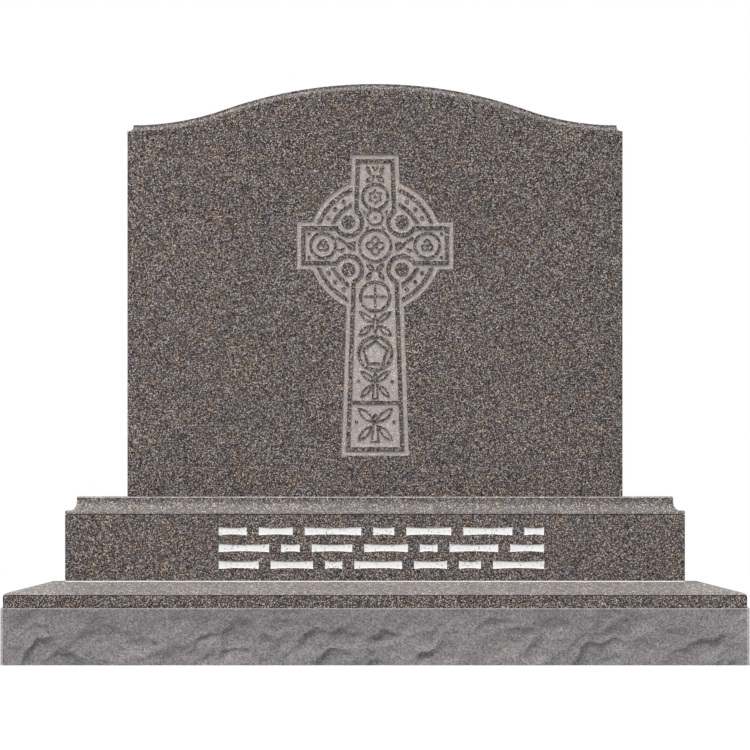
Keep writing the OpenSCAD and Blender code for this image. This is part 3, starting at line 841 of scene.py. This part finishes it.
def buildPlinth():
    halfX, halfY, bottom, top = measures(*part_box("plinth"))
    stone = StoneMesh("coved_plinth", [polishedGranite, fadingGranite, whitePaint])
    profile = coveProfile(plinth)
    inset = profile[1][1]
    profile = [(0, inset + plinth["arris"]), (plinth["topArris"], inset),
               (plinth["topArris"] + 0.1, inset)] + profile[2:]
    quirkTop = plinth["fillet"] + plinth["coveH"] + plinth["quirkDrop"]
    quirkFoot = quirkTop + plinth["quirk"]
    quirkDeep, quirkEase, slope = plinth["quirkDeep"], plinth["quirkEase"], plinth["quirkSlope"]
    profile += [(quirkTop - quirkEase, 0), (quirkTop, quirkEase), (quirkTop + slope, quirkDeep),
                (quirkFoot - slope, quirkDeep), (quirkFoot, quirkEase), (quirkFoot + quirkEase, 0)]
    rings = []
    for k, (down, into) in enumerate(profile):
        corner = plinth["cornerEase"] if into < 1 else plinth["innerEase"]
        # painted light: haze grows down the fillet into the cove, as light from above would make
        # it, and is stronger on the ledge and the band under it down to the groove; the top arris
        # is pale all over as a painted highlight. Partly this is a honed finish.
        fade = min(max((down - plinth["fadeFrom"]) / plinth["fadeOver"], 0), 1)
        honed = plinth["coveHonedAndPaintedLight"] * fade
        if k < 2:
            honed = plinth["topHonedAndPaintedHighlight"]
        elif plinth["fillet"] + plinth["coveH"] <= down < quirkTop:
            honed = plinth["ledgeHonedAndPaintedLight"]
        elif down >= quirkTop:
            honed = 0
        ring = slabRing(halfX - into, halfY - into, corner, top - down)
        stone.addRing(rings, ring, 1, honed)
    stone.addFace(rings[0])
    foot = stone.addPoints(slabRing(halfX, halfY, plinth["cornerEase"], bottom))
    stone.closeRound(rings[-1], foot, arcPoints)
    stone.addFace(foot[::-1])

    # rows of cut dashes on the front, filled with paint
    quirkZ = top - quirkFoot
    width = 2 * (halfX - plinth["strokeSide"])
    height = quirkZ - bottom - plinth["strokeHeadroom"] - plinth["strokeRise"]
    rowStep = (height - plinth["strokeThick"]) / max(plinth["rows"] - 1, 1)
    shapes = []
    for row in range(plinth["rows"]):
        rowStart = plinth["rowBeat"] * row + plinth["rowStart"]
        shares = [1 + plinth["vary"] * math.sin(math.radians(plinth["beat"] * i + rowStart))
                  for i in range(plinth["strokes"])]
        unit = (width - plinth["strokeGap"] * (plinth["strokes"] - 1)) / sum(shares)
        x = plinth["strokeShift"] - width / 2
        y = bottom + plinth["strokeRise"] + plinth["strokeThick"] / 2 + row * rowStep
        for share in shares:
            shapes.append(strokeShape(x, y, unit * share))
            x += unit * share + plinth["strokeGap"]
    edgeX = halfX - plinth["cornerEase"]
    topZ = top - profile[-1][0]
    outline = np.array([(-edgeX, bottom), (edgeX, bottom), (edgeX, topZ), (-edgeX, topZ)])
    cut = {**plinth["cut"], "front": -halfY}
    carve(stone, outline, shapes, lambda p: inAny(p, shapes), cut, (0, 2, 2))
    return stone.make()


plinthPiece = buildPlinth()
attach(plinthPiece, "root")
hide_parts("plinth")
print("plinth built")


bed = {"pitch": 6.0, "sink": 0.15, "wander": 0.2, "wanderScale": 0.03, "rows": 4}


def buildBed():
    # struck joint: hollow between its two edges, and a little uneven along its length
    halfX, halfY, bottom, top = measures(*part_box("bed_joint"))
    stone = StoneMesh("mortar_bed", [paleMortar])
    corners = [(-1, -1), (1, -1), (1, 1), (-1, 1)]
    stops = []
    for (ax, ay), (bx, by) in zip(corners, corners[1:] + corners[:1]):
        count = int(max(abs(bx - ax) * halfX, abs(by - ay) * halfY) / bed["pitch"])
        stops += [(ax + (bx - ax) * i / count, ay + (by - ay) * i / count) for i in range(count)]
    scale = bed["wanderScale"]
    rings = []
    for k in range(bed["rows"] + 1):
        up = k / bed["rows"]
        ring = []
        for x, y in stops:
            into = bed["sink"] * 4 * up * (1 - up)
            wave = noise.noise((x * halfX * scale, y * halfY * scale, up))
            into += bed["wander"] * (0.5 + 0.5 * wave)
            ring.append((x * (halfX - into), y * (halfY - into), bottom + (top - bottom) * up))
        rings.append(stone.addPoints(ring))
    for lower, upper in zip(rings, rings[1:]):
        stone.strip(upper, lower)
    stone.addFace(rings[-1])
    stone.addFace(rings[0][::-1])
    return stone.make()


bedPiece = buildBed()
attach(bedPiece, "root")
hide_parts("bed_joint")
print("mortar bed built")


base = {
    "washRun": 90, "washFall": 23.2,
    "arris": 0.6, "stripArris": 0.6, "cornerEase": 0.8, "quirk": 1.6, "quirkDeep": 2.2,
}


def buildBase():
    halfX, halfY, bottom, top = measures(*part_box("bevelled_base"))
    run, fall = base["washRun"], base["washFall"]
    tilt = math.atan2(fall, run)
    ease, stripEase = base["arris"], base["stripArris"]
    quirkTop = fall + ease * 0.7
    profile = [  # down, in, finish of the strip that ends here
        (0, run + stripEase, 1),
        (stripEase * math.tan(tilt), run - stripEase, 1),
        (fall - ease * math.sin(tilt), ease * math.cos(tilt), 1),
        (fall + ease * 0.5, 0, 1),
        (quirkTop, 0, 0),  # fine groove under the arris
        (quirkTop + base["quirk"] * 0.4, base["quirkDeep"], 0),
        (quirkTop + base["quirk"], 0, 0),
        (top - bottom - ease * 0.5, 0, 0),
        (top - bottom, ease * 0.5, 0),
    ]
    stone = StoneMesh("base_slab", [polishedGranite, honedGranite])
    rings = []
    for down, into, finish in profile:
        ring = slabRing(halfX - into, halfY - into, base["cornerEase"], top - down)
        stone.addRing(rings, ring, finish)
    stone.addFace(rings[0], 1)
    stone.addFace(rings[-1][::-1], 0)
    return stone.make(sharpAngle=10)


basePiece = buildBase()
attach(basePiece, "root")
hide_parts("bevelled_base")
print("base built")


course = {
    "draft": 4.6, "topDraft": 1.45, "slope": 3.0, "pitch": 2.7,
    "depth": 2.2, "least": 0.5, "most": 11.5, "settle": 52.0, "settleFrom": 0.1,
    "broad": 90.0, "broadDeep": 2.2, "broadStretch": 1.5,
    "chip": 17.0, "chipDeep": 1.0, "chipStretch": 1.3, "grain": 4.5, "grainDeep": 0.35,
    "crease": 34.0, "creaseWidth": 0.07, "creaseDeep": 0.9, "creaseStretch": 1.7,
    "warp": 9.0, "warpSize": 26.0,
    "seed": 70, "scoopEvery": 36.0, "scoopCrowd": 1.6,
    "scoopPast": (10, 8, 4),  # how far beyond the ends, the foot and the top a scoop may start
    "scoopLong": (12, 50), "scoopShort": (0.35, 0.75), "scoopTilt": (-8, 45),
    "scoopDeep": (1.8, 6.2), "scoopFew": 1.7,  # the higher, the fewer are deep
    "scoopUsual": 24,  # a scoop this long is as deep as scoopDeep says
    "steep": 0.75,
    "toolMarks": 0.2, "toolSize": 5.0, "topWear": 0.4, "topWearBand": 0.5, "cornerWear": 0.25,
}


def stoneWave(across, up, size, layer, stretch=1.0):
    # smooth noise from -1 to 1; each layer is a pattern of its own, and stretch flattens it
    return noise.noise((across / size, up / size * stretch, layer))


def rockDepth(along, up, length, height, side):
    # split stone: swells, chips and creases, and hollow scoops that are steepest at the upper edge
    draw = np.random.default_rng(course["seed"] + side)
    count = int(length * height / course["scoopEvery"] ** 2 * course["scoopCrowd"])
    pastEnds, pastFoot, pastTop = course["scoopPast"]
    scoops = np.column_stack([
        draw.uniform(-pastEnds, length + pastEnds, count),
        draw.uniform(-pastFoot, height + pastTop, count),
        draw.uniform(*course["scoopLong"], count),
        draw.uniform(*course["scoopShort"], count),
        np.radians(draw.uniform(*course["scoopTilt"], count)),
        draw.uniform(0, 1, count) ** course["scoopFew"]])
    scoops = scoops[np.argsort(scoops[:, 0])]
    starts = scoops[:, 0]
    low, high = course["scoopDeep"]
    size, warp = course["warpSize"], course["warp"]
    reach = course["scoopLong"][1] + warp  # farther scoops can't touch a point
    depth = np.empty_like(along)
    for place, a in np.ndenumerate(along):
        z = up[place]
        wa = a + warp * stoneWave(a, z, size, side + 5.0)
        wz = z + warp * stoneWave(a, z, size, side + 15.0)
        deep = 0.0
        first, last = np.searchsorted(starts, (a - reach, a + reach))
        for x, y, long, short, tilt, share in scoops[first:last]:
            u = ((wa - x) * math.cos(tilt) + (wz - y) * math.sin(tilt)) / long
            v = ((wz - y) * math.cos(tilt) - (wa - x) * math.sin(tilt)) / (long * short)
            inside = 1 - u * u - v * v
            if inside > 0:
                bowl = (low + (high - low) * share) * inside * (1 + course["steep"] * v)
                deep = max(deep, bowl * long / course["scoopUsual"])
        fine = course["grainDeep"] * stoneWave(a, z, course["grain"], side + 40.0)
        chips = course["chipDeep"] * stoneWave(
            wa, wz, course["chip"], side + 20.0, course["chipStretch"])
        broad = course["broadDeep"] * stoneWave(
            wa, wz, course["broad"], side * 7.3, course["broadStretch"])
        line = abs(stoneWave(wa, wz, course["crease"], side + 60.0, course["creaseStretch"]))
        crease = course["creaseDeep"] * max(0.0, 1 - line / course["creaseWidth"])
        depth[place] = course["depth"] + deep + fine + chips + broad + crease
    return depth


def buildCourse():
    halfX, halfY, _, top = measures(*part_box("rock_faced_course"))
    draft, topDraft, pitch = course["draft"], course["topDraft"], course["pitch"]
    flat = draft + course["slope"]
    topFlat = topDraft + course["slope"]
    rowCount = int(round((top - topFlat) / pitch))
    levels = np.array([(top - topFlat) * k / rowCount for k in range(rowCount + 1)]
                      + [top - topDraft, top - topDraft / 2, top - course["topWearBand"], top])
    worn = np.where(levels == top, course["topWear"], 0.0)
    slack = 0.01  # more than a rounding error, less than any step
    stone = StoneMesh("rock_course", [rockGranite, tooledGranite])
    sides = [  # where each side starts, the way it runs and how long it is
        ((-halfX, -halfY), (1, 0), 2 * halfX), ((halfX, -halfY), (0, 1), 2 * halfY),
        ((halfX, halfY), (-1, 0), 2 * halfX), ((-halfX, halfY), (0, -1), 2 * halfY),
    ]
    columns, isDraft = [], []
    for side, ((startX, startY), (dx, dy), length) in enumerate(sides):
        count = int(round((length - 2 * flat) / pitch))
        stops = np.concatenate([
            [0.0, draft / 2, draft],
            flat + (length - 2 * flat) * np.arange(count + 1) / count,
            [length - draft, length - draft / 2]])
        along, up = np.meshgrid(stops, levels, indexing="ij")
        depth = np.clip(rockDepth(along, up, length, top, side), course["least"], course["most"])
        edge = np.minimum(np.minimum(along - draft, length - draft - along), top - topDraft - up)
        depth = depth * np.clip(edge / course["slope"], 0, 1)
        depth *= np.clip(course["settleFrom"] + edge / course["settle"], 0, 1)
        # the draft is tooled nearly flat, and its outer arris is worn
        tool = np.array([[stoneWave(a, z, course["toolSize"], side + 60.0) for z in levels]
                         for a in stops])
        depth += np.where(edge <= 0, course["toolMarks"] * (0.5 + 0.5 * tool), 0) + worn
        x = startX + dx * along - dy * depth
        y = startY + dy * along + dx * depth
        wear = course["cornerWear"] + worn
        x[0] = startX - np.sign(startX) * wear
        y[0] = startY - np.sign(startY) * wear
        columns.append(np.stack([x, y, np.broadcast_to(levels, x.shape)], axis=-1))
        isDraft += [a < draft - slack or a > length - draft - slack for a in stops]
    around = np.concatenate(columns)
    rings = [stone.addPoints(around[:, k, :]) for k in range(len(levels))]
    total = len(around)
    for k in range(len(levels) - 1):
        for i in range(total):
            j = (i + 1) % total
            finish = 1 if isDraft[i] or levels[k] > top - topDraft - slack else 0
            stone.addFace([rings[k + 1][i], rings[k][i], rings[k][j], rings[k + 1][j]], finish)
    stone.addFace(rings[-1], 1)
    stone.addFace(rings[0][::-1])
    return stone.make(weld=0.0005, sharpAngle=40)


coursePiece = buildCourse()
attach(coursePiece, "root")
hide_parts("rock_faced_course")
print("rock-faced course built")


studio = {
    "floorHalf": 25.0, "floorShare": 0.4, "floorGlow": 0.55, "skyLight": 0.46,
    "keyLight": {"power": 2.5, "azimuth": -28, "elevation": 48, "softness": 25},
    "topLight": {"power": 0.9, "azimuth": 10, "elevation": 82, "softness": 40},
    "lens": 1500.0, "sensor": 36.0, "near": 1.0, "far": 200.0,
    "viewWidth": 1.3826, "viewDepth": -0.16, "viewHeight": 0.5344,
}


def seenRays(node):
    # 1 for a ray from the camera, one off a mirror or one through something clear
    rays = node("ShaderNodeLightPath").outputs
    straight = node("ShaderNodeMath", {
        0: rays["Is Camera Ray"], 1: rays["Is Glossy Ray"]}, operation="MAXIMUM")
    seen = node("ShaderNodeMath", {
        0: straight.outputs[0], 1: rays["Is Transmission Ray"]}, operation="MAXIMUM")
    return seen.outputs[0]


def buildFloor():
    half = studio["floorHalf"]
    corners = [(-half, -half, 0), (half, -half, 0), (half, half, 0), (-half, half, 0)]
    mesh = bpy.data.meshes.new("studioFloor")
    mesh.from_pydata(corners, [], [(0, 1, 2, 3)])
    material = bpy.data.materials.new("studioFloorWhite")
    node = nodeKit(material)
    diffuse = node("ShaderNodeBsdfDiffuse", {"Color": (studio["floorShare"],) * 3 + (1,)})
    glow = node("ShaderNodeEmission", {"Color": (1, 1, 1, 1), "Strength": studio["floorGlow"]})
    dark = node("ShaderNodeEmission", {"Color": (0, 0, 0, 1), "Strength": 0.0})
    extra = node("ShaderNodeMixShader", {
        0: seenRays(node), 1: dark.outputs[0], 2: glow.outputs[0]})
    both = node("ShaderNodeAddShader", {0: diffuse.outputs[0], 1: extra.outputs[0]})
    node("ShaderNodeOutputMaterial", {"Surface": both.outputs[0]})
    mesh.materials.append(material)
    floor = placeObject("studioFloor", mesh)


def buildWorld():
    world = bpy.data.worlds.new("studioSky")
    node = nodeKit(world)
    sky = node("ShaderNodeBackground", {"Color": (1, 1, 1, 1), "Strength": studio["skyLight"]})
    white = node("ShaderNodeBackground", {"Color": (1, 1, 1, 1), "Strength": 1.0})
    mix = node("ShaderNodeMixShader", {0: seenRays(node), 1: sky.outputs[0], 2: white.outputs[0]})
    node("ShaderNodeOutputWorld", {"Surface": mix.outputs[0]})
    bpy.context.scene.world = world


def addSun(name, power, azimuth, elevation, softness):
    light = bpy.data.lights.new(name, "SUN")
    light.energy = power
    light.angle = math.radians(softness)
    lamp = placeObject(name, light)
    a, e = math.radians(azimuth), math.radians(elevation)
    away = Vector((math.sin(a) * math.cos(e), -math.cos(a) * math.cos(e), math.sin(e)))
    lamp.rotation_euler = away.to_track_quat("Z", "Y").to_euler()


def placeCamera():
    # straight in front, with a lens so long that the stones show hardly any perspective
    data = bpy.data.cameras.new("studioCamera")
    data.lens = studio["lens"]
    data.sensor_width = studio["sensor"]
    away = studio["lens"] / data.sensor_width * studio["viewWidth"]
    data.clip_start, data.clip_end = studio["near"], studio["far"]
    camera = placeObject("studioCamera", data)
    camera.location = (0, studio["viewDepth"] - away, studio["viewHeight"])
    camera.rotation_euler = (math.radians(90), 0, 0)
    bpy.context.scene.camera = camera


buildFloor()
buildWorld()
for name in ("keyLight", "topLight"):
    addSun(name, **studio[name])
placeCamera()
bpy.context.scene.view_settings.view_transform = "Standard"
print("studio ready")
